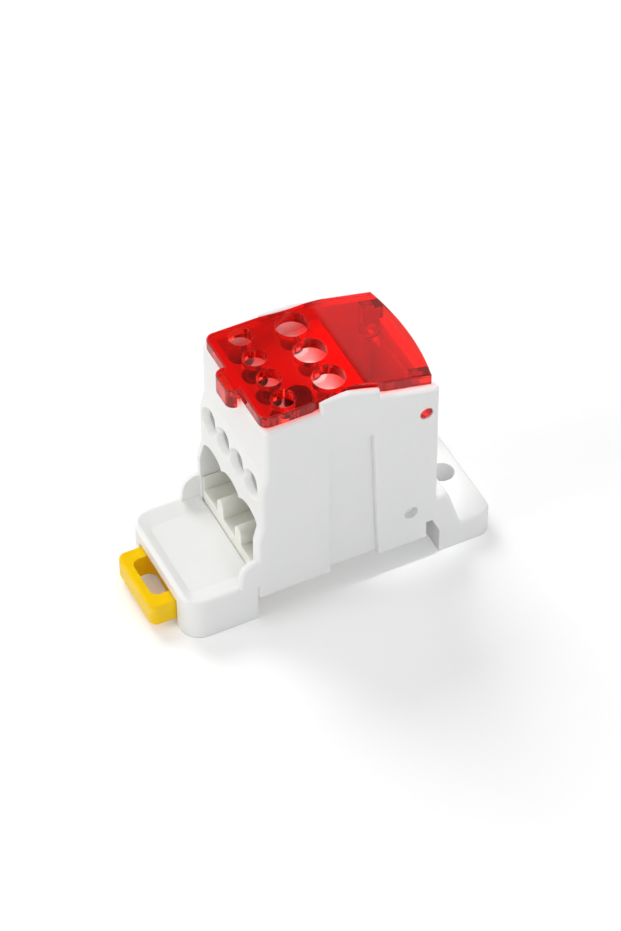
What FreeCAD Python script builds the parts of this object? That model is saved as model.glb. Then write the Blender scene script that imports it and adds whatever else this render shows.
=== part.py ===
import FreeCAD, Part
import Sketcher
import math
import os
import re

# Distribution block for a 35 mm top-hat rail, in millimetres. The origin is the middle of the
# rail, on the seat that touches the rail's flanges. +X points to the fixed hook, -X to the pull
# clip and the wire entries, +Y across the block, +Z away from the rail.

SIZES = {
    # Rail seat and feet
    "rail_slot": 35.5,
    "foot_depth": 5.0,
    "brim_gap": 1.5,
    "hook_reach": 1.5,
    "hook_height": 1.8,
    "hook_width": 12.0,
    "relief_start": 2.7,
    "relief_width": 1.2,
    "relief_height": 3.7,
    # Whole block
    "body_width": 25.0,
    "edge_round": 0.9,
    "foot_round": 0.7,
    "past": 1.0,
    "hair": 0.01,
    # Front foot with the wire tray
    "front_foot_length": 13.45,
    "front_foot_height": 3.8,
    "front_foot_round": 3.8,
    "tray_depth": 0.7,
    "tray_rim": 0.9,
    "tray_slope": 3.0,
    "tray_front_slope": 1.5,
    # Rear foot with the screw hole
    "rear_foot_length": 11.0,
    "rear_foot_height": 0.3,
    "rear_foot_round": 3.0,
    "rear_screw_bore": 4.6,
    "rear_screw_inset": 4.0,
    "shoulder_height": 8.9,
    "shoulder_length": 2.2,
    "shoulder_run": 2.6,
    "shoulder_round": 1.35,
    # Tower
    "tower_rear_gap": 0.5,
    "side_wall": 2.0,
    "rear_wall": 1.75,
    "step_one": 13.6,
    "step_lift": 1.0,
    "step_rise": 3.3,
    "step_back": 0.9,
    "slope_start": 2.7,
    "slope_angle": 13.8,
    "hump_rise": 2.0,
    "hump_start": 5.45,
    "hump_length": 11.2,
    "hump_fall": 1.4,
    "hump_round": 0.6,
    "hump_gap": 0.35,
    "hump_shift": 0.3,
    # Front cheeks beside the tray
    "cheek_reach": 3.6,
    "cheek_height": 8.9,
    "cheek_lean": 0.7,
    "cheek_round": 2.9,
    "cheek_wall": 1.2,
    # Side grooves for joining blocks
    "groove_start": 3.85,
    "groove_length": 8.4,
    "groove_flare": 1.2,
    "groove_height": 30.5,
    "groove_depth": 1.25,
    "blind_bore": 2.6,
    "blind_depth": 1.4,
    "blind_inset": 5.7,
    "blind_height": 7.5,
    # Wire entries
    "large_height": 8.75,
    "arch_round": 5.2,
    "arch_rise": 9.2,
    "small_height": 24.3,
    "funnel_overlap": 0.3,
    "funnel_depth": 1.15,
    # Screw deck under the cover
    "deck_gap": 3.8,
    "deck_recess": 3.0,
    "deck_wall": 1.8,
    "partition_wall": 1.5,
    "small_row": 7.31,
    "large_row": 16.4,
    "well_gap": 0.25,
    "key_gap": 0.5,
    "tube_wall": 0.7,
    # Conductor block, its pocket in the housing and the walls between its holes
    "pocket_wall": 1.8,
    "block_gap": 0.1,
    "lower_start": 7.4,
    "lower_length": 14.0,
    "lower_floor": 1.65,
    "lower_roof": 11.25,
    "upper_start": 4.0,
    "upper_length": 9.5,
    "upper_floor": 3.2,
    "upper_roof": 6.6,
    "small_web": 1.5,
    "small_edge": 0.35,
    "large_web": 1.1,
    "large_edge": 0.5,
    "small_bore_more": 0.2,
    "large_bore_less": 1.0,
    "small_bore_depth": 5.6,
    "large_bore_depth": 12.4,
    # Clamp screws
    "thread_gap": 0.03,
    "small_screw_length": 6.0,
    "small_bevel": 0.55,
    "large_screw_length": 9.5,
    "large_bevel": 0.8,
    "socket_depth": 2.0,
    "first_lift": 5.1,
    "second_lift": 4.5,
    "third_lift": 4.3,
    # Screw that holds the conductor block
    "fixing_screw": 3.0,
    "fixing_screw_length": 8.0,
    "fixing_head": 4.6,
    "fixing_head_height": 1.65,
    "fixing_socket": 2.5,
    "fixing_socket_depth": 1.2,
    "fixing_row": 11.45,
    "fixing_sink": 0.8,
    "fixing_gap": 0.1,
    # Base insert with the wire troughs, under the conductor block
    "base_gap": 0.1,
    "sill_inset": 0.35,
    "seat_relief": 0.5,
    "trough_drop": 3.05,
    "rib_height": 3.5,
    "rib_wall": 2.4,
    "ledge_height": 3.1,
    "ledge_wall": 0.4,
    # Rear chamber and cover hinge
    "chamber_floor": 4.9,
    "rear_wall_drop": 5.3,
    "lane_depth": 3.3,
    "lane_width": 2.9,
    "hinge_inset": 3.1,
    "hinge_drop": 8.9,
    "hinge_bore": 2.5,
    "hinge_gap": 0.08,
    "pin_recess": 0.3,
    "ear_gap": 0.1,
    "ear_wall": 2.2,
    "ear_radius": 1.9,
    # Cover
    "cover_wall": 2.2,
    "cover_gap": 0.1,
    "cover_inset": 1.0,
    "cover_front": 1.8,
    "cover_overhang": 0.2,
    "cover_bulge": 1.5,
    "cover_round": 1.6,
    "cover_edge": 0.4,
    "bend_round": 12.0,
    "waist_depth": 0.75,
    "waist_length": 14.0,
    "window_gap": 0.15,
    "window_rim": 0.95,
    "tab_reach": 2.2,
    "tab_width": 6.2,
    "tab_round": 1.5,
    "tab_drop": 1.8,
    "tab_wall": 1.65,
    # Rail clip
    "clip_width": 14.8,
    "clip_wall": 4.7,
    "clip_base": 1.2,
    "clip_ring": 4.65,
    "ring_wall": 1.6,
    "ring_window": 9.2,
    "ring_inside": 1.2,
    "ring_round": 1.5,
    "clip_edge": 0.6,
    "clip_gap": 0.3,
    "clip_travel": 3.0,
    "nose_reach": 1.5,
    "nose_height": 1.8,
    "flange_reach": 1.2,
    "flange_wall": 1.6,
    "flange_length": 5.0,
    "spring_wall": 0.9,
    "spring_gap": 0.9,
    "spring_length": 6.5,
    "spring_root": 1.8,
    "post_length": 1.3,
    "post_half": 0.9,
}

# Places that several pieces share, as sums of the sizes above
PLACES = {
    "slot_half": "rail_slot / 2",
    "body_half": "body_width / 2",
    "front_end": "-(slot_half + front_foot_length)",
    "rear_end": "slot_half + rear_foot_length",
    "face_low": "-slot_half",
    "face_mid": "face_low + step_back",
    "face_top": "face_mid + step_back",
    "tower_rear": "slot_half - tower_rear_gap",
    "block_width": "body_width - 2 * (pocket_wall + block_gap)",
    "pocket_half": "block_width / 2 + block_gap",
    "small_screw": "(block_width - 3 * small_web - 2 * small_edge) / 4",
    "small_pitch": "small_screw + small_web",
    "small_bore": "small_screw + small_bore_more",
    "small_socket": "small_screw / 2",
    "small_flat": "small_screw - 2 * small_bevel",
    "small_well": "small_screw + 2 * well_gap",
    "small_window": "small_screw + 2 * window_gap",
    "large_screw": "(block_width - 2 * large_web - 2 * large_edge) / 3",
    "large_pitch": "large_screw + large_web",
    "large_bore": "large_screw - large_bore_less",
    "large_socket": "large_screw / 2",
    "large_flat": "large_screw - 2 * large_bevel",
    "large_well": "large_socket + 2 * key_gap",
    "large_window": "large_well + 2 * window_rim",
    "funnel_mouth": "small_pitch + funnel_overlap",
    "upper_top": "small_height + small_bore / 2 + upper_roof",
    "upper_base": "small_height - small_bore / 2 - upper_floor",
    "lower_top": "large_height + large_bore / 2 + lower_roof",
    "lower_base": "large_height - large_bore / 2 - lower_floor",
    "trough_floor": "large_height - trough_drop",
    "rib_top": "trough_floor + rib_height",
    "ledge_top": "trough_floor + ledge_height",
    "tray_floor": "front_foot_height - tray_depth",
    "arch_top": "large_height + arch_rise",
    "deck_height": "upper_top + deck_gap",
    "deck_under": "deck_height - deck_wall",
    "tower_height": "deck_height + deck_recess",
    "hump_height": "tower_height + hump_rise",
    "step_two": "small_height + step_lift",
    "slope_end": "tower_height - (tower_rear - slope_start) * tan(slope_angle)",
    "rear_wall_top": "tower_height - rear_wall_drop",
    "lower_front": "face_low + lower_start",
    "lower_rear": "lower_front + lower_length",
    "upper_front": "face_low + upper_start",
    "upper_rear": "upper_front + upper_length",
    "pocket_rear": "lower_rear + block_gap",
    "chamber_front": "pocket_rear + partition_wall",
    "chamber_rear": "tower_rear - rear_wall",
    "chamber_half": "body_half - side_wall",
    "small_x": "face_low + small_row",
    "large_x": "face_low + large_row",
    "fixing_x": "face_low + fixing_row",
    "fixing_seat": "deck_height - fixing_sink",
    "large_tip": "large_height + large_bore / 2",
    "small_tip": "small_height + small_bore / 2",
    "hinge_x": "slot_half - hinge_inset",
    "hinge_height": "tower_height - hinge_drop",
    "lane_bottom": "hinge_height - lane_depth",
    "ear_outer": "chamber_half - ear_gap",
    "cover_under": "tower_height + cover_gap",
    "cover_top": "cover_under + cover_wall",
    "cover_half": "body_half - cover_inset",
    "cover_start": "face_low + cover_front",
    "cover_end": "tower_rear + cover_overhang",
    "waist_centre": "hump_length / 2 - hump_start",
    "waist_radius": "(waist_length ^ 2 / 4 + waist_depth ^ 2) / (2 * waist_depth)",
    "waist_y": "cover_half - waist_depth + waist_radius",
    "bulge_radius": "(cover_half ^ 2 + cover_bulge ^ 2) / (2 * cover_bulge)",
    "clip_low": "clip_base - foot_depth",
    "clip_high": "clip_low + clip_wall",
    "clip_half": "clip_width / 2",
    "channel_half": "clip_half + clip_gap",
    "flange_low": "clip_low + clip_wall / 2 - flange_wall / 2",
    "flange_high": "flange_low + flange_wall",
    "flange_rear": "face_low - clip_gap - tube_wall",
    "flange_front": "flange_rear - flange_length",
}

NAMES = set(SIZES) | set(PLACES)
Vector = FreeCAD.Vector
KINKS = ("step_one", "step_one + step_rise", "step_two", "step_two + step_rise")
ALONG = {"x": Vector(1, 0, 0), "y": Vector(0, 1, 0), "z": Vector(0, 0, 1)}

document = FreeCAD.newDocument("distribution_block")
sheet = document.addObject("Spreadsheet::Sheet", "Sizes")


def bound(text):
    """Turns a sum of size names into an expression on the sheet."""
    return re.sub(r"[a-z_]+", lambda word: "Sizes." * (word.group(0) in NAMES) + word.group(0), text)


def fill_sheet():
    row = 1
    for name, size in SIZES.items():
        sheet.set(f"A{row}", name)
        sheet.set(f"B{row}", str(size))
        sheet.setAlias(f"B{row}", name)
        row += 1
    for name, text in PLACES.items():
        sheet.set(f"A{row}", name)
        sheet.set(f"B{row}", "=" + text)
        sheet.setAlias(f"B{row}", name)
        row += 1
    document.recompute()


def size(text):
    """The number that a sum of size names gives now."""
    number = sheet.evalExpression(text)
    return float(getattr(number, "Value", number))


def box(name, x, y, z):
    """A block between two planes along each axis."""
    piece = document.addObject("Part::Box", name)
    for side, axis, (low, high) in zip(("Length", "Width", "Height"), "xyz", (x, y, z)):
        piece.setExpression(side, bound(f"({high}) - ({low})"))
        piece.setExpression("Placement.Base." + axis, bound(low))
    return piece


def place_round(piece, axis, centre, start):
    """Lays a cylinder or cone along an axis, with its centre in the plane across it."""
    piece.Placement = FreeCAD.Placement(Vector(), FreeCAD.Rotation(ALONG["z"], ALONG[axis]))
    across = [letter for letter in "xyz" if letter != axis]
    for letter, text in zip(across, centre):
        piece.setExpression("Placement.Base." + letter, bound(text))
    piece.setExpression("Placement.Base." + axis, bound(start))


def rod(name, axis, centre, radius, start, end):
    piece = document.addObject("Part::Cylinder", name)
    place_round(piece, axis, centre, start)
    piece.setExpression("Radius", bound(radius))
    piece.setExpression("Height", bound(f"({end}) - ({start})"))
    return piece


def cone(name, axis, centre, radius_start, radius_end, start, end):
    piece = document.addObject("Part::Cone", name)
    place_round(piece, axis, centre, start)
    piece.setExpression("Radius1", bound(radius_start))
    piece.setExpression("Radius2", bound(radius_end))
    piece.setExpression("Height", bound(f"({end}) - ({start})"))
    return piece


def hexagon(name, centre, width, start, end):
    """An upright hexagon for a key, given across its flats."""
    piece = document.addObject("Part::Prism", name)
    place_round(piece, "z", centre, start)
    piece.Polygon = 6
    piece.setExpression("Circumradius", bound(f"({width}) / sqrt(3)"))
    piece.setExpression("Height", bound(f"({end}) - ({start})"))
    return piece


def outline(name, points):
    """A closed outline in the XZ plane, every corner held by two sizes."""
    sketch = document.addObject("Sketcher::SketchObject", name)
    sketch.Placement = FreeCAD.Placement(Vector(), FreeCAD.Rotation(Vector(1, 0, 0), 90))
    corners = [Vector(size(x), size(z), 0) for x, z in points]
    count = len(corners)
    for index in range(count):
        sketch.addGeometry(Part.LineSegment(corners[index], corners[(index + 1) % count]), False)
    for index in range(count):
        sketch.addConstraint(Sketcher.Constraint("Coincident", index, 2, (index + 1) % count, 1))
    for index, (x, z) in enumerate(points):
        for kind, text in (("DistanceX", x), ("DistanceY", z)):
            held = sketch.addConstraint(Sketcher.Constraint(kind, -1, 1, index, 1, size(text)))
            sketch.setExpression(f"Constraints[{held}]", bound(text))
    return sketch


def slab(name, points, half_width):
    """An XZ outline made thick to both sides of the middle plane."""
    piece = document.addObject("Part::Extrusion", name)
    piece.Base = outline(name + "_outline", points)
    piece.DirMode = "Custom"
    piece.Dir = Vector(0, 1, 0)
    piece.Solid = True
    piece.setExpression("LengthFwd", bound(half_width))
    piece.setExpression("LengthRev", bound(half_width))
    return piece


def join(name, pieces):
    group = document.addObject("Part::MultiFuse", name)
    group.Shapes = pieces
    group.Refine = True
    return group


def common(name, pieces):
    group = document.addObject("Part::MultiCommon", name)
    group.Shapes = pieces
    return group


def cut(name, base, tools):
    piece = document.addObject("Part::Cut", name)
    piece.Base = base
    piece.Tool = join(name + "_tools", tools) if len(tools) > 1 else tools[0]
    piece.Refine = True
    return piece


def rounded(name, base, radius, wanted):
    """Rounds the edges of a piece that the function wanted picks by their middle and direction."""
    document.recompute()
    piece = document.addObject("Part::Fillet", name)
    piece.Base = base
    chosen = []
    for number, edge in enumerate(base.Shape.Edges, 1):
        middle = edge.valueAt((edge.FirstParameter + edge.LastParameter) / 2)
        along = edge.tangentAt((edge.FirstParameter + edge.LastParameter) / 2)
        if wanted(middle, along):
            chosen.append((number, size(radius), size(radius)))
    piece.Edges = chosen
    return piece


def near(one, other):
    return abs(one - other) < SIZES["hair"]


def tower_shell():
    """The outer form of the tower, its front stepped back twice, its rear end sloping down."""
    points = [
        ("face_low", "0"),
        ("face_low", "step_one"),
        ("face_mid", "step_one + step_rise"),
        ("face_mid", "step_two"),
        ("face_top", "step_two + step_rise"),
        ("face_top", "tower_height"),
        ("slope_start", "tower_height"),
        ("tower_rear", "slope_end"),
        ("tower_rear", "0"),
    ]
    block = slab("tower_block", points, "body_half")
    kinks = [size(text) for text in KINKS]
    soft = rounded(
        "tower_steps", block, "step_rise",
        lambda middle, along: near(abs(along.y), 1) and any(near(middle.z, z) for z in kinks),
    )
    crest = [size("tower_height"), size("slope_end")]
    bend = size("slope_start + past")
    crown = rounded(
        "tower_crown", soft, "edge_round",
        lambda middle, along: near(abs(along.y), 1)
        and any(near(middle.z, z) for z in crest)
        and abs(middle.x) > bend,
    )
    side = size("body_half")
    return rounded(
        "tower_shell", crown, "edge_round",
        lambda middle, along: near(abs(middle.y), side) and middle.z > size("hair"),
    )


def humps():
    """The raised ears of both side walls, which fill the waist of the cover."""
    points = [
        ("-hump_start", "deck_height"),
        ("-hump_start", "hump_height"),
        ("0", "hump_height"),
        ("hump_length - hump_start", "hump_height - hump_fall"),
        ("hump_length - hump_start", "deck_height"),
    ]
    ridge = slab("hump_ridge", points, "body_half")
    side = size("body_half")
    soft = rounded(
        "hump_soft", ridge, "hump_round",
        lambda middle, along: near(abs(middle.y), side) and middle.z > size("deck_height + hair"),
    )
    pair = []
    for name, sign in (("left", ""), ("right", "-")):
        bow = rod(
            "hump_bow_" + name, "z", ("waist_centre + hump_shift", f"{sign}waist_y"),
            "waist_radius - hump_gap", "deck_height - past", "hump_height + past",
        )
        pair.append(common("hump_" + name, [soft, bow]))
    return pair


def front_foot():
    """The foot under the wire entries: a rounded plate, dished on top as a tray."""
    plate = box(
        "front_plate", ("front_end", "-slot_half"), ("-body_half", "body_half"),
        ("-foot_depth", "front_foot_height"),
    )
    front = size("front_end")
    corners = rounded(
        "front_corners", plate, "front_foot_round",
        lambda middle, along: near(abs(along.z), 1) and near(middle.x, front),
    )
    top = size("front_foot_height")
    soft = rounded(
        "front_soft", corners, "foot_round",
        lambda middle, along: near(middle.z, top) and middle.x < -size("slot_half + hair"),
    )
    dish = document.addObject("Part::Wedge", "tray_dish")
    dish.Placement = FreeCAD.Placement(Vector(), FreeCAD.Rotation(Vector(1, 0, 0), 90))
    floor_half = "body_half - tray_rim - tray_slope"
    top_half = "body_half - tray_rim"
    spans = {
        "Xmin": "front_end + tray_rim + tray_front_slope",
        "Xmax": "-slot_half",
        "X2min": "front_end + tray_rim",
        "X2max": "-slot_half",
        "Ymin": "tray_floor",
        "Ymax": "front_foot_height + hair",
        "Zmin": f"-({floor_half})",
        "Zmax": floor_half,
        "Z2min": f"-({top_half})",
        "Z2max": top_half,
    }
    for side, text in spans.items():
        dish.setExpression(side, bound(text))
    low = size("tray_floor")
    hollow = rounded(
        "tray_hollow", dish, "front_foot_round - tray_rim",
        lambda middle, along: abs(along.z) > 0.1
        and low < middle.z < top
        and middle.x < -size("slot_half + past"),
    )
    return cut("front_foot", soft, [hollow])


def cheeks():
    """The rounded cheeks that guard both ends of the tray beside the wire entries."""
    points = [
        ("face_low - cheek_reach", "front_foot_height - past"),
        ("face_low - cheek_reach + cheek_lean", "cheek_height"),
        ("face_low + edge_round + past", "cheek_height"),
        ("face_low + edge_round + past", "front_foot_height - past"),
    ]
    plate = slab("cheek_plate", points, "body_half")
    bow = rounded(
        "cheek_bow", plate, "cheek_round",
        lambda middle, along: near(abs(along.y), 1)
        and near(middle.z, size("cheek_height"))
        and middle.x < size("face_low"),
    )
    side = size("body_half")
    soft = rounded(
        "cheek_soft", bow, "cheek_wall / 2",
        lambda middle, along: near(abs(middle.y), side)
        and middle.z > size("front_foot_height")
        and middle.x < size("face_low + edge_round"),
    )
    gap = box(
        "cheek_gap", ("face_low - cheek_reach - past", "face_low + edge_round + past * 2"),
        ("-(body_half - cheek_wall)", "body_half - cheek_wall"), ("0", "cheek_height + past"),
    )
    return cut("cheeks", soft, [gap])


def rear_foot():
    """The foot with the screw hole, and the shoulder that ties it to the tower."""
    plate = box(
        "rear_plate", ("slot_half", "rear_end"), ("-body_half", "body_half"),
        ("-foot_depth", "rear_foot_height"),
    )
    rear = size("rear_end")
    corners = rounded(
        "rear_corners", plate, "rear_foot_round",
        lambda middle, along: near(abs(along.z), 1) and near(middle.x, rear),
    )
    top = size("rear_foot_height")
    soft = rounded(
        "rear_soft", corners, "foot_round",
        lambda middle, along: near(middle.z, top) and middle.x > size("slot_half + hair"),
    )
    points = [
        ("tower_rear - edge_round - past", "0"),
        ("tower_rear - edge_round - past", "shoulder_height"),
        ("tower_rear + shoulder_length", "shoulder_height"),
        ("tower_rear + shoulder_length + shoulder_run", "rear_foot_height"),
        ("tower_rear + shoulder_length + shoulder_run", "-past"),
        ("slot_half", "-past"),
        ("slot_half", "0"),
    ]
    shoulder = slab("shoulder_block", points, "body_half")
    bend = rounded(
        "shoulder_bend", shoulder, "shoulder_round",
        lambda middle, along: near(abs(along.y), 1)
        and near(middle.z, size("shoulder_height"))
        and middle.x > size("tower_rear"),
    )
    side = size("body_half")
    smooth = rounded(
        "shoulder_soft", bend, "foot_round",
        lambda middle, along: near(abs(middle.y), side)
        and middle.z > size("rear_foot_height")
        and middle.x > size("tower_rear - edge_round"),
    )
    return [soft, smooth]


def wire_opening():
    """The scalloped arch over the large wire entries, and the throat that takes the insert."""
    across = ("-pocket_half", "pocket_half")
    crowns = [box(
        "arch_shaft", ("face_low", "upper_front"), across, ("tray_floor", "arch_top - arch_round"),
    )]
    for number, place in enumerate(large_places(), 1):
        crowns.append(rod(
            f"arch_crown_{number}", "x", (place, "arch_top - arch_round"), "arch_round",
            "face_low", "upper_front",
        ))
    frame = box(
        "arch_frame", ("face_low", "upper_front"), across, ("tray_floor", "arch_top + past"),
    )
    throat = box(
        "insert_throat", ("face_low + sill_inset", "upper_front"), across, ("-past", "tray_floor"),
    )
    return [common("wire_arch", [join("arch_crowns", crowns), frame]), throat]


def small_places():
    return [f"small_pitch * {number}" for number in (-1.5, -0.5, 0.5, 1.5)]


def large_places():
    return [f"large_pitch * {number}" for number in (-1, 0, 1)]


def funnels():
    """The four small wire entries: a wide mouth in the face, then a straight bore to the block."""
    holes = []
    widest = "funnel_mouth / 2 + (funnel_mouth - small_bore) / 2 * step_back / funnel_depth"
    for number, place in enumerate(small_places(), 1):
        centre = (place, "small_height")
        holes.append(cone(
            f"funnel_{number}", "x", centre, widest, "small_bore / 2", "face_mid - step_back",
            "face_mid + funnel_depth",
        ))
        holes.append(rod(
            f"entry_{number}", "x", centre, "small_bore / 2", "face_mid + funnel_depth / 2",
            "upper_front",
        ))
    return holes


def screw_tubes():
    """The tubes under the deck that guide a key down to each screw."""
    tubes = []
    for number, place in enumerate(small_places(), 1):
        tubes.append(rod(
            f"small_tube_{number}", "z", ("small_x", place), "small_well / 2 + tube_wall",
            "upper_top + block_gap", "deck_height - deck_wall / 2",
        ))
    for number, place in enumerate(large_places(), 1):
        tubes.append(rod(
            f"large_tube_{number}", "z", ("large_x", place), "large_well / 2 + tube_wall",
            "lower_top + block_gap", "deck_height - deck_wall / 2",
        ))
    tubes.append(rod(
        "fixing_tube", "z", ("fixing_x", "-small_pitch"),
        "fixing_screw / 2 + fixing_gap + tube_wall", "upper_top", "deck_height - deck_wall / 2",
    ))
    return tubes


def screw_wells():
    """The wells through the deck, one over each screw."""
    wells = []
    for number, place in enumerate(small_places(), 1):
        wells.append(rod(
            f"small_well_{number}", "z", ("small_x", place), "small_well / 2", "upper_top - past",
            "deck_height + past",
        ))
    for number, place in enumerate(large_places(), 1):
        wells.append(rod(
            f"large_well_{number}", "z", ("large_x", place), "large_well / 2", "lower_top - past",
            "deck_height + past",
        ))
    centre = ("fixing_x", "-small_pitch")
    wells.append(rod(
        "fixing_recess", "z", centre, "fixing_head / 2 + fixing_gap", "fixing_seat",
        "deck_height + past",
    ))
    wells.append(rod(
        "fixing_hole", "z", centre, "fixing_screw / 2 + fixing_gap", "upper_top - past",
        "fixing_seat + past",
    ))
    return wells


def side_grooves():
    """The shallow grooves down both side faces, open at the bottom."""
    points = [
        ("-groove_start", "-past"),
        ("-groove_start", "groove_height"),
        ("groove_length - groove_start", "groove_height"),
        ("groove_length - groove_start + groove_flare", "-past"),
    ]
    band = slab("groove_band", points, "body_half + past")
    core = box(
        "groove_core",
        ("-groove_start - past", "groove_length - groove_start + groove_flare + past"),
        ("-(body_half - groove_depth)", "body_half - groove_depth"),
        ("-2 * past", "groove_height + past"),
    )
    return cut("side_grooves", band, [core])


def clip_channel():
    """The way of the rail clip through the front foot, with a guide groove on each side."""
    way = box(
        "channel_way", ("front_end - past", "-slot_half + past"), ("-channel_half", "channel_half"),
        ("-foot_depth - past", "clip_high + clip_gap"),
    )
    reach = "clip_half + flange_reach + clip_gap"
    guide = box(
        "channel_guide", ("flange_front - clip_travel - clip_gap", "flange_rear + clip_gap"),
        (f"-({reach})", reach), ("flange_low - clip_gap", "flange_high + clip_gap"),
    )
    return [way, guide]


def rail_relief():
    """The notch above the fixed hook, which lets the rail's flange tilt in."""
    points = [
        ("slot_half - relief_start", "-past"),
        ("slot_half - relief_start", "relief_height"),
        ("slot_half - relief_start + relief_width", "relief_height"),
        ("slot_half", "rear_foot_height"),
        ("slot_half", "-past"),
    ]
    return slab("rail_relief", points, "body_half + past")


def housing():
    """The light grey moulding: tower, both feet, cheeks, deck and hinge walls in one piece."""
    outside = [tower_shell(), front_foot(), cheeks()] + humps() + rear_foot()
    hook = box(
        "fixed_hook", ("slot_half - hook_reach", "slot_half + past"),
        ("-hook_width / 2", "hook_width / 2"), ("-(brim_gap + hook_height)", "-brim_gap"),
    )
    solid = join("housing_outside", outside + [hook])
    pocket = box(
        "block_pocket", ("upper_front - block_gap", "pocket_rear"), ("-pocket_half", "pocket_half"),
        ("-past", "deck_under"),
    )
    above_deck = box(
        "above_deck", ("face_top + side_wall", "chamber_rear"), ("-chamber_half", "chamber_half"),
        ("deck_height", "hump_height + past"),
    )
    chamber = box(
        "rear_chamber", ("chamber_front", "chamber_rear"), ("-chamber_half", "chamber_half"),
        ("chamber_floor", "deck_height + past"),
    )
    wall_top = box(
        "rear_wall_cut", ("chamber_rear - past", "tower_rear + past"),
        ("-chamber_half", "chamber_half"), ("rear_wall_top", "hump_height"),
    )
    lanes = []
    for name, low, high in (
        ("left", "chamber_half - lane_width", "chamber_half"),
        ("right", "-chamber_half", "-(chamber_half - lane_width)"),
    ):
        lanes.append(box(
            "hinge_lane_" + name, ("chamber_rear - past", "tower_rear + past"), (low, high),
            ("lane_bottom", "hump_height"),
        ))
    hollow = cut("housing_hollow", solid, [pocket, above_deck, chamber, wall_top] + lanes)
    tubed = join("housing_tubed", [hollow] + screw_tubes())
    post = box(
        "clip_post", ("flange_front - clip_travel", "flange_front - clip_travel + post_length"),
        ("-post_half", "post_half"), ("clip_low", "clip_high + clip_gap + tube_wall"),
    )
    hinge = rod(
        "hinge_bore", "y", ("hinge_x", "hinge_height"), "hinge_bore / 2", "-body_half - past",
        "body_half + past",
    )
    blind = []
    for name, low, high in (
        ("left", "body_half - blind_depth", "body_half + past"),
        ("right", "-body_half - past", "-(body_half - blind_depth)"),
    ):
        blind.append(rod(
            "blind_bore_" + name, "y", ("slot_half - blind_inset", "blind_height"),
            "blind_bore / 2", low, high,
        ))
    foot_bore = rod(
        "foot_bore", "z", ("rear_end - rear_screw_inset", "0"), "rear_screw_bore / 2",
        "-foot_depth - past", "shoulder_height",
    )
    openings = [side_grooves(), rail_relief(), hinge, foot_bore] + wire_opening()
    openings += funnels() + screw_wells() + clip_channel() + blind
    opened = cut("housing_open", tubed, openings)
    return join("housing", [opened, post])


def base_insert():
    """The insert that closes the tower from below: wire troughs between ribs, and a bed."""
    front = "face_low + sill_inset + base_gap"
    rear = "lower_front - base_gap"
    half = "pocket_half - base_gap"
    floor = box("insert_floor", (front, rear), (f"-({half})", half), ("0", "trough_floor"))
    bed = box(
        "insert_bed", (rear, "pocket_rear - base_gap"), (f"-({half})", half), ("0", "lower_base"),
    )
    walls = []
    for name, place in (("left", "large_pitch / 2"), ("right", "-large_pitch / 2")):
        walls.append(box(
            "rib_wall_" + name, (front, rear),
            (f"{place} - rib_wall / 2", f"{place} + rib_wall / 2"),
            ("0", "rib_top - rib_wall / 2"),
        ))
        walls.append(rod(
            "rib_crest_" + name, "x", (place, "rib_top - rib_wall / 2"), "rib_wall / 2", front,
            rear,
        ))
    inner = f"{half} - ledge_wall"
    for name, across in (("left", (inner, half)), ("right", (f"-({half})", f"-({inner})"))):
        walls.append(box("ledge_" + name, (front, rear), across, ("0", "ledge_top")))
    relief = box(
        "seat_relief_block", ("face_low", "face_low + nose_reach + clip_gap"),
        ("-body_half", "body_half"), ("-past", "seat_relief"),
    )
    return cut("base_insert", join("insert_blank", [floor, bed] + walls), [relief])


def conductor_block():
    """The stepped metal block with a bore and a threaded hole for every wire."""
    points = [
        ("lower_front", "lower_base"),
        ("lower_front", "upper_base"),
        ("upper_front", "upper_base"),
        ("upper_front", "upper_top"),
        ("upper_rear", "upper_top"),
        ("upper_rear", "lower_top"),
        ("lower_rear", "lower_top"),
        ("lower_rear", "lower_base"),
    ]
    blank = slab("block_blank", points, "block_width / 2")
    holes = []
    for number, place in enumerate(small_places(), 1):
        holes.append(rod(
            f"small_bore_{number}", "x", (place, "small_height"), "small_bore / 2",
            "upper_front - past", "upper_front + small_bore_depth",
        ))
        holes.append(rod(
            f"small_thread_{number}", "z", ("small_x", place), "small_screw / 2 + thread_gap",
            "small_height", "upper_top + past",
        ))
    for number, place in enumerate(large_places(), 1):
        holes.append(rod(
            f"large_bore_{number}", "x", (place, "large_height"), "large_bore / 2",
            "lower_front - past", "lower_front + large_bore_depth",
        ))
        holes.append(rod(
            f"large_thread_{number}", "z", ("large_x", place), "large_screw / 2 + thread_gap",
            "large_height", "lower_top + past",
        ))
    holes.append(rod(
        "fixing_thread", "z", ("fixing_x", "-small_pitch"), "fixing_screw / 2 + thread_gap",
        "fixing_seat - fixing_screw_length - 2 * fixing_gap", "upper_top + past",
    ))
    return cut("conductor_block", blank, holes)


def clamp_screw(name, x, y, tip, kind):
    """A headless clamp screw with a blunt tip and a hexagon socket in its top."""
    diameter = f"{kind}_screw"
    shoulder = f"{tip} + ({diameter} - {kind}_flat) / 2"
    top = f"{tip} + {kind}_screw_length"
    point = cone(name + "_tip", "z", (x, y), f"{kind}_flat / 2", f"{diameter} / 2", tip, shoulder)
    shank = rod(name + "_shank", "z", (x, y), f"{diameter} / 2", shoulder, top)
    socket = hexagon(name + "_socket", (x, y), f"{kind}_socket", f"{top} - socket_depth", f"{top} + past")
    return cut(name, join(name + "_blank", [point, shank]), [socket])


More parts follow.
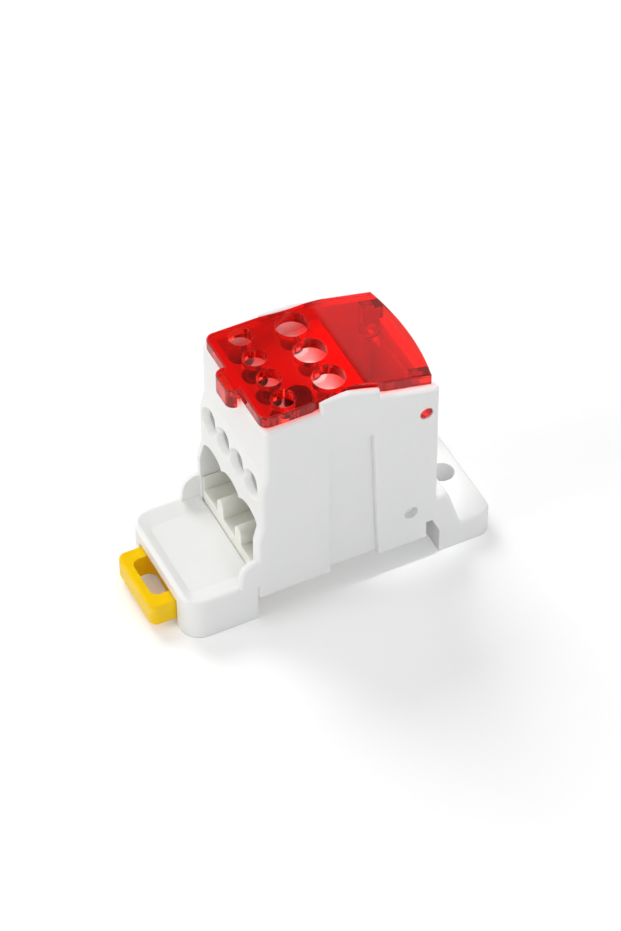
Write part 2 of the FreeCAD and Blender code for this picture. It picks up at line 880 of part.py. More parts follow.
def fixing_screw():
    """The screw through the deck that draws the conductor block up against its tube."""
    name, centre = "block_fixing_screw", ("fixing_x", "-small_pitch")
    top = "fixing_seat + fixing_head_height"
    head = rod(name + "_head", "z", centre, "fixing_head / 2", "fixing_seat", top)
    shank = rod(
        name + "_shank", "z", centre, "fixing_screw / 2", "fixing_seat - fixing_screw_length",
        "fixing_seat",
    )
    socket = hexagon(
        name + "_socket", centre, "fixing_socket", f"{top} - fixing_socket_depth", f"{top} + past",
    )
    return cut(name, join(name + "_blank", [head, shank]), [socket])


def cover():
    """The clear cover: a bent plate with a latch tab in front and two hinge ears at the rear."""
    bend = "slope_start + cover_wall * tan(slope_angle / 2)"
    points = [
        ("cover_start", "cover_under"),
        ("cover_start", "cover_top"),
        (bend, "cover_top"),
        ("cover_end", f"cover_top - (cover_end - ({bend})) * tan(slope_angle)"),
        ("cover_end", "cover_under - (cover_end - slope_start) * tan(slope_angle)"),
        ("slope_start", "cover_under"),
    ]
    plate = slab("cover_plate", points, "cover_half")
    start, end = size("slope_start - past"), size("slope_start + past")
    bent = rounded(
        "cover_bent", plate, "bend_round",
        lambda middle, along: near(abs(along.y), 1) and start < middle.x < end,
    )
    bulge = rod(
        "cover_bulge_round", "z", ("cover_end - bulge_radius", "0"), "bulge_radius", "hinge_height",
        "cover_top + past",
    )
    trimmed = common("cover_trimmed", [bent, bulge])
    front = size("cover_start")
    corners = rounded(
        "cover_corners", trimmed, "cover_round",
        lambda middle, along: near(abs(along.z), 1) and near(middle.x, front),
    )
    tab_block = box(
        "tab_block", ("cover_start - tab_reach", "cover_start + tab_round"),
        ("-tab_width / 2", "tab_width / 2"), ("cover_under - tab_drop", "cover_top"),
    )
    tab_soft = rounded(
        "tab_soft", tab_block, "tab_round",
        lambda middle, along: near(abs(along.z), 1) and middle.x < front,
    )
    tab_under = box(
        "tab_under", ("cover_start - tab_reach + tab_wall", "cover_start + tab_round + past"),
        ("-tab_width", "tab_width"), ("cover_under - tab_drop - past", "cover_under"),
    )
    tab = cut("cover_tab", tab_soft, [tab_under])
    blank = join("cover_blank", [corners, tab])
    cuts = []
    for name, sign in (("left", ""), ("right", "-")):
        cuts.append(rod(
            "waist_" + name, "z", ("waist_centre", f"{sign}waist_y"), "waist_radius",
            "cover_under - 2 * past", "cover_top + past",
        ))
    for number, place in enumerate(small_places(), 1):
        cuts.append(rod(
            f"small_window_{number}", "z", ("small_x", place), "small_window / 2",
            "cover_under - past", "cover_top + past",
        ))
    for number, place in enumerate(large_places(), 1):
        cuts.append(rod(
            f"large_window_{number}", "z", ("large_x", place), "large_window / 2",
            "cover_under - past", "cover_top + past",
        ))
    crest, fall = size("cover_top"), math.tan(math.radians(size("slope_angle")))
    bent_from, bent_to = size("slope_start - 3 * past"), size("slope_start + 3 * past")
    close = size("cover_edge / 2")
    soft = rounded(
        "cover_soft", blank, "cover_edge",
        lambda middle, along: abs(middle.z - crest + max(0, middle.x - size(bend)) * fall) < close
        and not (near(abs(along.y), 1) and bent_from < middle.x < bent_to),
    )
    pierced = cut("cover_pierced", soft, cuts)
    ears = []
    ear_top = "cover_under - (hinge_x + ear_radius - slope_start) * tan(slope_angle) + cover_wall / 2"
    for name, inner, outer, tip in (
        ("left", "ear_outer - ear_wall", "ear_outer", "body_half - pin_recess"),
        ("right", "-(ear_outer - ear_wall)", "-ear_outer", "-(body_half - pin_recess)"),
    ):
        low, high = (inner, outer) if name == "left" else (outer, inner)
        pin_low, pin_high = (inner, tip) if name == "left" else (tip, inner)
        ears.append(box(
            "ear_arm_" + name, ("hinge_x - ear_radius", "hinge_x + ear_radius"), (low, high),
            ("hinge_height", ear_top),
        ))
        ears.append(rod("ear_eye_" + name, "y", ("hinge_x", "hinge_height"), "ear_radius", low, high))
        ears.append(rod(
            "hinge_pin_" + name, "y", ("hinge_x", "hinge_height"), "hinge_bore / 2 - hinge_gap",
            pin_low, pin_high,
        ))
    return join("cover", [pierced] + ears)


def rail_clip():
    """The pull clip: a finger ring, a tongue with guide flanges and spring legs, and a nose."""
    ring_front = "front_end - clip_ring"
    nose_front = "-slot_half - clip_gap"
    body = box(
        "clip_body", (ring_front, nose_front), ("-clip_half", "clip_half"),
        ("clip_low", "clip_high"),
    )
    front = size(ring_front)
    corners = rounded(
        "clip_corners", body, "ring_round",
        lambda middle, along: near(abs(along.z), 1) and near(middle.x, front),
    )
    soft = rounded(
        "clip_soft", corners, "clip_edge",
        lambda middle, along: near(abs(along.z), 0) and middle.x < size(f"{nose_front} - hair"),
    )
    window = box(
        "ring_window_block", ("front_end - clip_ring + ring_wall", "front_end + ring_inside"),
        ("-ring_window / 2", "ring_window / 2"), ("clip_low - past", "clip_high + past"),
    )
    window_soft = rounded(
        "ring_window_soft", window, "ring_round", lambda middle, along: near(abs(along.z), 1),
    )
    spring_front = "flange_front - clip_travel - spring_root"
    spring_rear = "flange_front - clip_travel - spring_root + spring_length"
    spring_half = "post_half + spring_gap * 2 + spring_wall"
    spring_window = box(
        "spring_window", (spring_front, spring_rear), (f"-({spring_half})", spring_half),
        ("clip_low - past", "clip_high + past"),
    )
    thin = box(
        "clip_thin", ("flange_front", nose_front), ("-clip_width", "clip_width"),
        ("flange_high + clip_gap", "clip_high + past"),
    )
    tongue = cut("clip_tongue", soft, [window_soft, spring_window, thin])
    extra = []
    near_side = "post_half + spring_gap"
    far_side = "post_half + spring_gap + spring_wall"
    inner = "clip_half - past"
    outer = "clip_half + flange_reach"
    for name, leg, flange in (
        ("left", (near_side, far_side), (inner, outer)),
        ("right", (f"-({far_side})", f"-({near_side})"), (f"-({outer})", f"-({inner})")),
    ):
        leg_span = (f"{spring_front} - past", f"{spring_rear} - spring_gap")
        extra.append(box("spring_leg_" + name, leg_span, leg, ("clip_low", "flange_high")))
        extra.append(box(
            "clip_flange_" + name, ("flange_front", "flange_rear"), flange,
            ("flange_low", "flange_high"),
        ))
    extra.append(box(
        "clip_nose", (f"{nose_front} - past", "-slot_half + nose_reach"),
        ("-clip_half", "clip_half"), ("-(brim_gap + nose_height)", "-brim_gap"),
    ))
    return join("rail_clip", [tongue] + extra)


def assembly():
    parts = [housing(), base_insert(), conductor_block(), cover(), rail_clip(), fixing_screw()]
    lifts = ("first_lift", "second_lift", "third_lift", "0")
    for number, (place, lift) in enumerate(zip(small_places(), lifts), 1):
        parts.append(clamp_screw(
            f"small_clamp_screw_{number}", "small_x", place, f"small_tip + block_gap + {lift}",
            "small",
        ))
    for number, place in enumerate(large_places(), 1):
        parts.append(clamp_screw(
            f"large_clamp_screw_{number}", "large_x", place, "large_tip + block_gap", "large",
        ))
    return parts


def check(parts):
    for item in document.Objects:
        if {"Invalid", "Error"} & set(item.State):
            raise RuntimeError(f"{item.Label} did not compute: {item.State}")
    for part in parts:
        if part.Shape.isNull() or not part.Shape.isValid() or len(part.Shape.Solids) != 1:
            raise RuntimeError(f"{part.Label} is not one valid solid")


def main():
    fill_sheet()
    parts = assembly()
    document.recompute()
    check(parts)
    os.makedirs("parts", exist_ok=True)
    for part in parts:
        part.Shape.exportStep(os.path.join("parts", part.Label + ".step"))
        print(f"{part.Label}: volume {part.Shape.Volume:.1f}")


main()
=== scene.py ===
import bpy
import math
from mathutils import Matrix, Vector


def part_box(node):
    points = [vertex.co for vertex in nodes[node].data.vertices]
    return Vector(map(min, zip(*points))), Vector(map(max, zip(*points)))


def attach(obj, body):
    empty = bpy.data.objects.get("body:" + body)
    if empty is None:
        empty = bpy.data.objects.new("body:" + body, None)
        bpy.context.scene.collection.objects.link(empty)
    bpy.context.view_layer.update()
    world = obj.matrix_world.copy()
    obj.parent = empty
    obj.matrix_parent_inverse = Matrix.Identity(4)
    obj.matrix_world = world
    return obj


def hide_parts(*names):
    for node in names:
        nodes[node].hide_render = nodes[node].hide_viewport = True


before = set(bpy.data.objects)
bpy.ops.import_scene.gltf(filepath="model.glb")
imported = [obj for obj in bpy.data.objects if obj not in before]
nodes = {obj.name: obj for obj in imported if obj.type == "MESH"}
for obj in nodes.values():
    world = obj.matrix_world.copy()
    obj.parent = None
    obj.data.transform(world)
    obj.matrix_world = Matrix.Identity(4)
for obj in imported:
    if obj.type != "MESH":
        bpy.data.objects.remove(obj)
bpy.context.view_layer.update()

# Camera: the block seen from above its left front corner, from nearly 0.7 m away, as in a
# product picture taken with a long lens.
MM = 0.001
camera_data = bpy.data.cameras.new("camera")
camera_data.sensor_fit = "VERTICAL"
camera_data.sensor_height = 36.0
camera_data.lens = 150.72
camera_data.clip_start = 0.05
camera_data.clip_end = 20.0
camera = bpy.data.objects.new("camera", camera_data)
bpy.context.collection.objects.link(camera)
lens_place = Vector((-209.25, -424.1, 503.0)) * MM
turn = math.radians(-26.11)
rise = math.radians(45.99)
roll = math.radians(-0.37)
back = Vector((math.sin(turn) * math.cos(rise), -math.cos(turn) * math.cos(rise), math.sin(rise)))
level = Vector((math.cos(turn), math.sin(turn), 0))
upright = back.cross(level)
right = level * math.cos(roll) + upright * math.sin(roll)
above = back.cross(right)
facing = Matrix((right, above, back)).transposed().to_4x4()
camera.matrix_world = Matrix.Translation(lens_place) @ facing
bpy.context.scene.camera = camera
bpy.context.scene.view_settings.view_transform = "Standard"

# Light: a bright white tent with two darker openings, one high beyond the block, which the
# cover's flat top mirrors, and one for the lens. Three soft panels hang high beyond the block,
# at its near side and in front of it, and a narrow lamp shines straight down on the rear of the
# cover and the screw foot.
tent_strength = 0.52
high_beyond = (0.306, 0.624, 0.719)
world = bpy.data.worlds.new("tent")
world.use_nodes = True
bpy.context.scene.world = world
tree = world.node_tree
tent = tree.nodes["Background"]
tent.inputs["Color"].default_value = (1.0, 1.0, 1.0, 1.0)
view = tree.nodes.new("ShaderNodeTexCoord")


def tent_opening(direction, outer, inner, left):
    """The share of the tent's light round one direction: all past outer, left within inner."""
    toward = tree.nodes.new("ShaderNodeVectorMath")
    toward.operation = "DOT_PRODUCT"
    toward.inputs[1].default_value = direction
    tree.links.new(view.outputs["Generated"], toward.inputs[0])
    dim = tree.nodes.new("ShaderNodeMapRange")
    dim.interpolation_type = "SMOOTHSTEP"
    dim.inputs["From Min"].default_value = math.cos(math.radians(outer))
    dim.inputs["From Max"].default_value = math.cos(math.radians(inner))
    dim.inputs["To Min"].default_value = 1.0
    dim.inputs["To Max"].default_value = left
    tree.links.new(toward.outputs["Value"], dim.inputs["Value"])
    return dim.outputs["Result"]


both_openings = tree.nodes.new("ShaderNodeMath")
both_openings.operation = "MULTIPLY"
far_opening = tent_opening(direction=high_beyond, outer=24, inner=14, left=0.2)
lens_opening = tent_opening(direction=back, outer=30, inner=15, left=0.3)
tree.links.new(far_opening, both_openings.inputs[0])
tree.links.new(lens_opening, both_openings.inputs[1])
tent_light = tree.nodes.new("ShaderNodeMath")
tent_light.operation = "MULTIPLY"
tent_light.inputs[1].default_value = tent_strength
tree.links.new(both_openings.outputs[0], tent_light.inputs[0])
tree.links.new(tent_light.outputs[0], tent.inputs["Strength"])


def soft_panel(name, place, width, power, colour, mirrored):
    """A square lamp, in metres and watts, aimed at the middle of the block."""
    panel = bpy.data.lights.new(name, "AREA")
    panel.color = colour
    panel.shape = "SQUARE"
    panel.size = width
    panel.energy = power
    lamp = bpy.data.objects.new(name, panel)
    lamp.location = place
    lamp.visible_glossy = mirrored
    middle = Vector((0, 0, 0.02))
    lamp.rotation_euler = (middle - Vector(place)).to_track_quat("-Z", "Y").to_euler()
    bpy.context.collection.objects.link(lamp)


soft_panel(
    "top_panel", place=(-0.04, 0.52, 0.55), width=0.40, power=3.0,
    colour=(1.0, 1.0, 1.0), mirrored=False,
)
soft_panel(
    "side_panel", place=(-0.10, -0.64, 0.42), width=0.35, power=1.25,
    colour=(0.98, 1.0, 1.02), mirrored=True,
)
soft_panel(
    "front_panel", place=(-0.62, 0.04, 0.32), width=0.30, power=1.1,
    colour=(1.0, 0.99, 0.95), mirrored=True,
)
snoot = bpy.data.lights.new("snoot", "SPOT")
snoot.energy = 32.0
snoot.spot_size = math.radians(1.9)
snoot.spot_blend = 0.7
snoot.shadow_soft_size = 0.01
snoot_lamp = bpy.data.objects.new("snoot", snoot)
snoot_lamp.location = (0.0125, 0, 0.75)
snoot_lamp.visible_glossy = False
bpy.context.collection.objects.link(snoot_lamp)

# Floor: a wide sheet of white paper on the table, under both feet. Seen by the camera it is as
# white as paper in a tent, and it keeps the shadow of the block.
feet_plane = -5.0 * MM
half_sheet = 3.0
paper_colour = (0.90, 0.90, 0.90, 1.0)
camera_glow = 0.17
sheet_corners = [
    (-half_sheet, -half_sheet, feet_plane),
    (half_sheet, -half_sheet, feet_plane),
    (half_sheet, half_sheet, feet_plane),
    (-half_sheet, half_sheet, feet_plane),
]
paper_mesh = bpy.data.meshes.new("paper")
paper_mesh.from_pydata(sheet_corners, [], [(0, 1, 2, 3)])
paper = bpy.data.objects.new("paper", paper_mesh)
bpy.context.collection.objects.link(paper)
paper_white = bpy.data.materials.new("paper_white")
paper_white.use_nodes = True
tree = paper_white.node_tree
sheet_shader = tree.nodes["Principled BSDF"]
sheet_shader.inputs["Base Color"].default_value = paper_colour
sheet_shader.inputs["Roughness"].default_value = 0.9
sheet_shader.inputs["Specular IOR Level"].default_value = 0.0
glow = tree.nodes.new("ShaderNodeEmission")
seen = tree.nodes.new("ShaderNodeLightPath")
share = tree.nodes.new("ShaderNodeMath")
share.operation = "MULTIPLY"
share.inputs[1].default_value = camera_glow
both = tree.nodes.new("ShaderNodeAddShader")
tree.links.new(seen.outputs["Is Camera Ray"], share.inputs[0])
tree.links.new(share.outputs[0], glow.inputs["Strength"])
tree.links.new(sheet_shader.outputs[0], both.inputs[0])
tree.links.new(glow.outputs[0], both.inputs[1])
tree.links.new(both.outputs[0], tree.nodes["Material Output"].inputs["Surface"])
paper_mesh.materials.append(paper_white)

# Conductor block: one piece of drawn brass bar, milled to a step, drilled and plated. It is
# pushed up into the housing from below, and dull grey-olive where the wires go in.


def finish_node(name, material):
    """Gives a carried-over piece its finish."""
    piece = nodes[name]
    piece.data.materials.clear()
    piece.data.materials.append(material)


def metal(name, light, dark, roughness, scratch):
    """A bare metal with fine tool lines along X and stains that change its colour and gloss."""
    stains_per_metre = 400.0
    lines_per_metre = 6000.0
    line_stretch = (0.05, 1.0, 1.0)
    gloss_change = 0.08
    material = bpy.data.materials.new(name)
    material.use_nodes = True
    tree = material.node_tree
    shader = tree.nodes["Principled BSDF"]
    shader.inputs["Metallic"].default_value = 1.0
    place = tree.nodes.new("ShaderNodeTexCoord")
    stain = tree.nodes.new("ShaderNodeTexNoise")
    stain.inputs["Scale"].default_value = stains_per_metre
    stain.inputs["Detail"].default_value = 4.0
    tree.links.new(place.outputs["Object"], stain.inputs["Vector"])
    tone = tree.nodes.new("ShaderNodeMix")
    tone.data_type = "RGBA"
    tone.inputs["A"].default_value = (*light, 1.0)
    tone.inputs["B"].default_value = (*dark, 1.0)
    tree.links.new(stain.outputs["Fac"], tone.inputs["Factor"])
    tree.links.new(tone.outputs["Result"], shader.inputs["Base Color"])
    gloss = tree.nodes.new("ShaderNodeMapRange")
    gloss.inputs["To Min"].default_value = roughness - gloss_change
    gloss.inputs["To Max"].default_value = roughness + gloss_change
    tree.links.new(stain.outputs["Fac"], gloss.inputs["Value"])
    tree.links.new(gloss.outputs["Result"], shader.inputs["Roughness"])
    stretch = tree.nodes.new("ShaderNodeMapping")
    stretch.inputs["Scale"].default_value = line_stretch
    tree.links.new(place.outputs["Object"], stretch.inputs["Vector"])
    lines = tree.nodes.new("ShaderNodeTexNoise")
    lines.inputs["Scale"].default_value = lines_per_metre
    tree.links.new(stretch.outputs["Vector"], lines.inputs["Vector"])
    bump = tree.nodes.new("ShaderNodeBump")
    bump.inputs["Strength"].default_value = 0.3
    bump.inputs["Distance"].default_value = scratch
    tree.links.new(lines.outputs["Fac"], bump.inputs["Height"])
    tree.links.new(bump.outputs["Normal"], shader.inputs["Normal"])
    return material


plated_brass = metal(
    "plated_brass", light=(0.58, 0.55, 0.45), dark=(0.42, 0.39, 0.30),
    roughness=0.4, scratch=0.01 * MM,
)
finish_node("conductor_block", plated_brass)

# Clamp screws: headless steel screws with a rolled thread, a blunt tip and a hexagon socket,
# zinc plated and dull. Each one turns in the conductor block, over the bore of its wire.
screw_steel = metal(
    "screw_steel", light=(0.34, 0.33, 0.31), dark=(0.20, 0.19, 0.18),
    roughness=0.38, scratch=0.005 * MM,
)
screw_tree = bpy.data.node_groups.new("headless_screw", "GeometryNodeTree")
screw_inputs = {}
for label, kind in (
    ("Place", "NodeSocketVector"), ("Diameter", "NodeSocketFloat"), ("Length", "NodeSocketFloat"),
    ("Tip Width", "NodeSocketFloat"), ("Pitch", "NodeSocketFloat"), ("Thread", "NodeSocketFloat"),
    ("Key Width", "NodeSocketFloat"), ("Key Depth", "NodeSocketFloat"),
):
    screw_inputs[label] = screw_tree.interface.new_socket(
        name=label, in_out="INPUT", socket_type=kind
    ).identifier
screw_tree.interface.new_socket(name="Screw", in_out="OUTPUT", socket_type="NodeSocketGeometry")
given = screw_tree.nodes.new("NodeGroupInput")


def screw_math(operation, *terms):
    """One step of the screw's arithmetic, on sockets or plain numbers."""
    step = screw_tree.nodes.new("ShaderNodeMath")
    step.operation = operation
    for socket, term in zip(step.inputs, terms):
        if isinstance(term, (int, float)):
            socket.default_value = term
        else:
            screw_tree.links.new(term, socket)
    return step.outputs[0]


def screw_point(x, y, z):
    """A place made of three sockets or plain numbers."""
    joined = screw_tree.nodes.new("ShaderNodeCombineXYZ")
    for socket, term in zip(joined.inputs, (x, y, z)):
        if isinstance(term, (int, float)):
            socket.default_value = term
        else:
            screw_tree.links.new(term, socket)
    return joined.outputs[0]


# The wall of a screw is a sheet, one by one, that is rolled round its axis. At each height it is
# as wide as the thread, the cone of the tip and the bevel of the top leave it.
AROUND = 48
WALL_ROWS = 91
TOP_BEVEL = 1.2
wall = screw_tree.nodes.new("GeometryNodeMeshGrid")
wall.inputs["Size X"].default_value = 1.0
wall.inputs["Size Y"].default_value = 1.0
wall.inputs["Vertices X"].default_value = AROUND + 1
wall.inputs["Vertices Y"].default_value = WALL_ROWS
spot = screw_tree.nodes.new("GeometryNodeInputPosition")
sheet = screw_tree.nodes.new("ShaderNodeSeparateXYZ")
screw_tree.links.new(spot.outputs[0], sheet.inputs[0])
angle = screw_math("MULTIPLY", sheet.outputs["X"], math.tau)
climb = screw_math("MULTIPLY", screw_math("ADD", sheet.outputs["Y"], 0.5), given.outputs["Length"])
radius = screw_math("MULTIPLY", given.outputs["Diameter"], 0.5)
turns = screw_math("DIVIDE", climb, given.outputs["Pitch"])
phase = screw_math("SUBTRACT", turns, sheet.outputs["X"])
groove = screw_math("MULTIPLY", screw_math("PINGPONG", phase, 0.5), 2.0)
threaded = screw_math("SUBTRACT", radius, screw_math("MULTIPLY", groove, given.outputs["Thread"]))
tip_half = screw_math("MULTIPLY", given.outputs["Tip Width"], 0.5)
tapered = screw_math("ADD", tip_half, climb)
cut_back = screw_math("MULTIPLY", given.outputs["Thread"], TOP_BEVEL)
top_half = screw_math("SUBTRACT", radius, cut_back)
bevelled = screw_math("ADD", top_half, screw_math("SUBTRACT", given.outputs["Length"], climb))
reach = screw_math("MINIMUM", screw_math("MINIMUM", threaded, tapered), bevelled)
around = screw_point(
    screw_math("MULTIPLY", reach, screw_math("COSINE", angle)),
    screw_math("MULTIPLY", reach, screw_math("SINE", angle)),
    climb,
)
flank = screw_tree.nodes.new("GeometryNodeSetPosition")
screw_tree.links.new(wall.outputs["Mesh"], flank.inputs["Geometry"])
screw_tree.links.new(around, flank.inputs["Position"])

# A disc closes each end, and a hexagon bar cuts the socket for the key into the top.
closed = screw_tree.nodes.new("GeometryNodeJoinGeometry")
screw_tree.links.new(flank.outputs[0], closed.inputs[0])
for half, height, turned in ((top_half, given.outputs["Length"], False), (tip_half, 0.0, True)):
    disc = screw_tree.nodes.new("GeometryNodeMeshCircle")
    disc.fill_type = "NGON"
    disc.inputs["Vertices"].default_value = AROUND
    screw_tree.links.new(half, disc.inputs["Radius"])
    lifted = screw_tree.nodes.new("GeometryNodeTransform")
    screw_tree.links.new(disc.outputs[0], lifted.inputs["Geometry"])
    screw_tree.links.new(screw_point(0.0, 0.0, height), lifted.inputs["Translation"])
    end = lifted
    if turned:
        end = screw_tree.nodes.new("GeometryNodeFlipFaces")
        screw_tree.links.new(lifted.outputs[0], end.inputs[0])
    screw_tree.links.new(end.outputs[0], closed.inputs[0])
weld = screw_tree.nodes.new("GeometryNodeMergeByDistance")
weld.inputs["Distance"].default_value = 0.001 * MM
screw_tree.links.new(closed.outputs[0], weld.inputs[0])
key = screw_tree.nodes.new("GeometryNodeMeshCylinder")
key.inputs["Vertices"].default_value = 6
key_radius = screw_math("DIVIDE", given.outputs["Key Width"], math.sqrt(3))
key_length = screw_math("MULTIPLY", given.outputs["Key Depth"], 2.0)
screw_tree.links.new(key_radius, key.inputs["Radius"])
screw_tree.links.new(key_length, key.inputs["Depth"])
raised = screw_tree.nodes.new("GeometryNodeTransform")
screw_tree.links.new(key.outputs["Mesh"], raised.inputs["Geometry"])
screw_tree.links.new(screw_point(0.0, 0.0, given.outputs["Length"]), raised.inputs["Translation"])
socketed = screw_tree.nodes.new("GeometryNodeMeshBoolean")
socketed.operation = "DIFFERENCE"
screw_tree.links.new(weld.outputs[0], socketed.inputs[0])
screw_tree.links.new(raised.outputs[0], socketed.inputs[1])
seated = screw_tree.nodes.new("GeometryNodeTransform")
screw_tree.links.new(socketed.outputs["Mesh"], seated.inputs["Geometry"])
screw_tree.links.new(given.outputs["Place"], seated.inputs["Translation"])
real = screw_tree.nodes.new("GeometryNodeRealizeInstances")
screw_tree.links.new(seated.outputs[0], real.inputs[0])
dressed = screw_tree.nodes.new("GeometryNodeSetMaterial")
dressed.inputs["Material"].default_value = screw_steel
screw_tree.links.new(real.outputs[0], dressed.inputs[0])
made = screw_tree.nodes.new("NodeGroupOutput")
screw_tree.links.new(dressed.outputs[0], made.inputs[0])


def clamp_screw(node, tip_width, pitch, thread, key_width, key_depth):
    """One screw in the place of its solid, made by the tree and kept as a plain mesh."""
    sharp_angle = math.radians(32)
    lowest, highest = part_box(node)
    values = {
        "Place": ((lowest[0] + highest[0]) / 2, (lowest[1] + highest[1]) / 2, lowest[2]),
        "Diameter": highest[0] - lowest[0],
        "Length": highest[2] - lowest[2],
        "Tip Width": tip_width * MM,
        "Pitch": pitch * MM,
        "Thread": thread * MM,
        "Key Width": key_width * MM,
        "Key Depth": key_depth * MM,
    }
    blank = bpy.data.objects.new(node + "_blank", bpy.data.meshes.new(node + "_blank"))
    bpy.context.collection.objects.link(blank)
    maker = blank.modifiers.new("screw", "NODES")
    maker.node_group = screw_tree
    for label, value in values.items():
        maker[screw_inputs[label]] = value
    evaluated = blank.evaluated_get(bpy.context.evaluated_depsgraph_get())
    mesh = bpy.data.meshes.new_from_object(evaluated)
    blank.modifiers.remove(maker)
    bpy.data.objects.remove(blank)
    for face in mesh.polygons:
        face.use_smooth = True
    mesh.set_sharp_from_angle(angle=sharp_angle)
    screw = bpy.data.objects.new("threaded_" + node, mesh)
    bpy.context.collection.objects.link(screw)
    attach(screw, node)
    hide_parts(node)


for number in (1, 2, 3):
    clamp_screw(
        f"large_clamp_screw_{number}", tip_width=4.4, pitch=1.0, thread=0.5,
        key_width=3.0, key_depth=2.0,
    )
for number in (1, 2, 3, 4):
    clamp_screw(
        f"small_clamp_screw_{number}", tip_width=2.9, pitch=0.7, thread=0.35,
        key_width=2.0, key_depth=2.0,
    )

# Housing: one injection moulding in light warm grey polyamide, semi-matt from a finely eroded
# tool, with a trace of flow marks and softened edges.


def moulded_plastic(name, colour, roughness, shine, depth, softened, scatter):
    """A plastic with a fine tool texture and slow, faint changes of colour and gloss."""
    clouds_per_metre = 90.0
    grains_per_metre = 2500.0
    tone_change = 0.015
    gloss_change = 0.05
    material = bpy.data.materials.new(name)
    material.use_nodes = True
    tree = material.node_tree
    shader = tree.nodes["Principled BSDF"]
    shader.inputs["IOR"].default_value = 1.5
    shader.inputs["Specular IOR Level"].default_value = shine
    shader.inputs["Subsurface Weight"].default_value = 1.0
    shader.inputs["Subsurface Radius"].default_value = (1.0, 1.0, 0.92)
    shader.inputs["Subsurface Scale"].default_value = scatter
    place = tree.nodes.new("ShaderNodeTexCoord")
    cloud = tree.nodes.new("ShaderNodeTexNoise")
    cloud.inputs["Scale"].default_value = clouds_per_metre
    cloud.inputs["Detail"].default_value = 3.0
    tree.links.new(place.outputs["Object"], cloud.inputs["Vector"])
    darker = [channel * (1.0 - tone_change) for channel in colour]
    lighter = [min(1.0, channel * (1.0 + tone_change)) for channel in colour]
    tone = tree.nodes.new("ShaderNodeMix")
    tone.data_type = "RGBA"
    tone.inputs["A"].default_value = (*darker, 1.0)
    tone.inputs["B"].default_value = (*lighter, 1.0)
    tree.links.new(cloud.outputs["Fac"], tone.inputs["Factor"])
    tree.links.new(tone.outputs["Result"], shader.inputs["Base Color"])
    gloss = tree.nodes.new("ShaderNodeMapRange")
    gloss.inputs["To Min"].default_value = roughness - gloss_change
    gloss.inputs["To Max"].default_value = roughness + gloss_change
    tree.links.new(cloud.outputs["Fac"], gloss.inputs["Value"])
    tree.links.new(gloss.outputs["Result"], shader.inputs["Roughness"])
    erosion = tree.nodes.new("ShaderNodeTexNoise")
    erosion.inputs["Scale"].default_value = grains_per_metre
    erosion.inputs["Detail"].default_value = 2.0
    tree.links.new(place.outputs["Object"], erosion.inputs["Vector"])
    edge = tree.nodes.new("ShaderNodeBevel")
    edge.samples = 4
    edge.inputs["Radius"].default_value = softened
    bump = tree.nodes.new("ShaderNodeBump")
    bump.inputs["Strength"].default_value = 0.25
    bump.inputs["Distance"].default_value = depth
    tree.links.new(erosion.outputs["Fac"], bump.inputs["Height"])
    tree.links.new(edge.outputs["Normal"], bump.inputs["Normal"])
    tree.links.new(bump.outputs["Normal"], shader.inputs["Normal"])
    return material


grey_white_polyamide = moulded_plastic(
    "grey_white_polyamide", colour=(0.87, 0.872, 0.868), roughness=0.45, shine=0.5,
    depth=0.02 * MM, softened=0.25 * MM, scatter=0.25 * MM,
)
finish_node("housing", grey_white_polyamide)

# Base insert: the same polyamide from another tool, more matt, and tinted olive as painted shade,
# for the olive tone of the shaded hollow under the block. It snaps in from below under the
# conductor block, and its ribs part the large wires.
# The olive in this colour is painted shade for the hollow under the conductor block.
painted_shade_olive_polyamide = moulded_plastic(
    "painted_shade_olive_polyamide", colour=(0.87, 0.87, 0.81), roughness=0.55, shine=0.4,
    depth=0.02 * MM, softened=0.25 * MM, scatter=0.25 * MM,
)
finish_node("base_insert", painted_shade_olive_polyamide)

# Fixing screw: a small black steel screw with a low round head, which goes through the deck
# and draws the conductor block up.
black_steel = metal(
    "black_steel", light=(0.10, 0.10, 0.10), dark=(0.05, 0.05, 0.05),
    roughness=0.45, scratch=0.005 * MM,
)
finish_node("block_fixing_screw", black_steel)

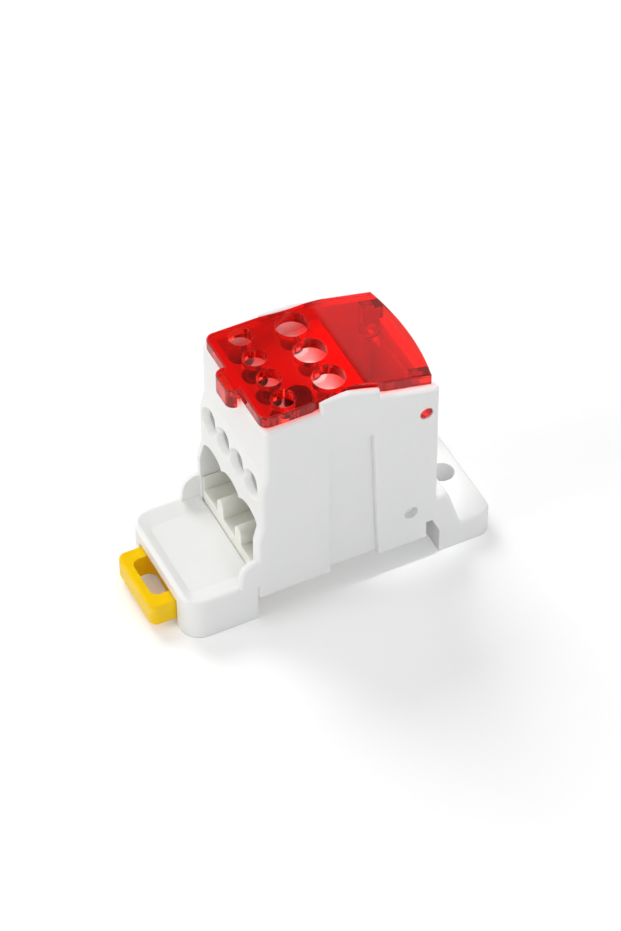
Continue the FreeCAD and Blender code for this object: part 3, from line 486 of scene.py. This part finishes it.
# Cover: polished clear red polycarbonate, faintly milky, one moulding with its tab and ears. It
# turns on two pins in the housing, and light that passes through it turns red.
cover_red = (0.82, 0.018, 0.009, 1.0)
passed_red = (0.86, 0.05, 0.02, 1.0)
waves_per_metre = 120.0
clear_red = bpy.data.materials.new("clear_red_polycarbonate")
clear_red.use_nodes = True
tree = clear_red.node_tree
shader = tree.nodes["Principled BSDF"]
shader.inputs["Base Color"].default_value = cover_red
shader.inputs["Roughness"].default_value = 0.03
shader.inputs["IOR"].default_value = 1.5
shader.inputs["Transmission Weight"].default_value = 0.92
place = tree.nodes.new("ShaderNodeTexCoord")
flow = tree.nodes.new("ShaderNodeTexNoise")
flow.inputs["Scale"].default_value = waves_per_metre
tree.links.new(place.outputs["Object"], flow.inputs["Vector"])
edge = tree.nodes.new("ShaderNodeBevel")
edge.samples = 4
edge.inputs["Radius"].default_value = 0.2 * MM
bump = tree.nodes.new("ShaderNodeBump")
bump.inputs["Strength"].default_value = 0.15
bump.inputs["Distance"].default_value = 0.03 * MM
tree.links.new(flow.outputs["Fac"], bump.inputs["Height"])
tree.links.new(edge.outputs["Normal"], bump.inputs["Normal"])
tree.links.new(bump.outputs["Normal"], shader.inputs["Normal"])
passing = tree.nodes.new("ShaderNodeBsdfTransparent")
passing.inputs["Color"].default_value = passed_red
ray = tree.nodes.new("ShaderNodeLightPath")
either = tree.nodes.new("ShaderNodeMixShader")
tree.links.new(ray.outputs["Is Shadow Ray"], either.inputs["Fac"])
tree.links.new(shader.outputs[0], either.inputs[1])
tree.links.new(passing.outputs[0], either.inputs[2])
tree.links.new(either.outputs[0], tree.nodes["Material Output"].inputs["Surface"])
finish_node("cover", clear_red)

# Rail clip: glossy yellow acetal, one moulding with its ring, tongue and spring legs. It slides
# in the guides under the front foot.
yellow_acetal = moulded_plastic(
    "yellow_acetal", colour=(1.0, 0.60, 0.002), roughness=0.30, shine=0.25,
    depth=0.01 * MM, softened=0.2 * MM, scatter=0.12 * MM,
)
finish_node("rail_clip", yellow_acetal)
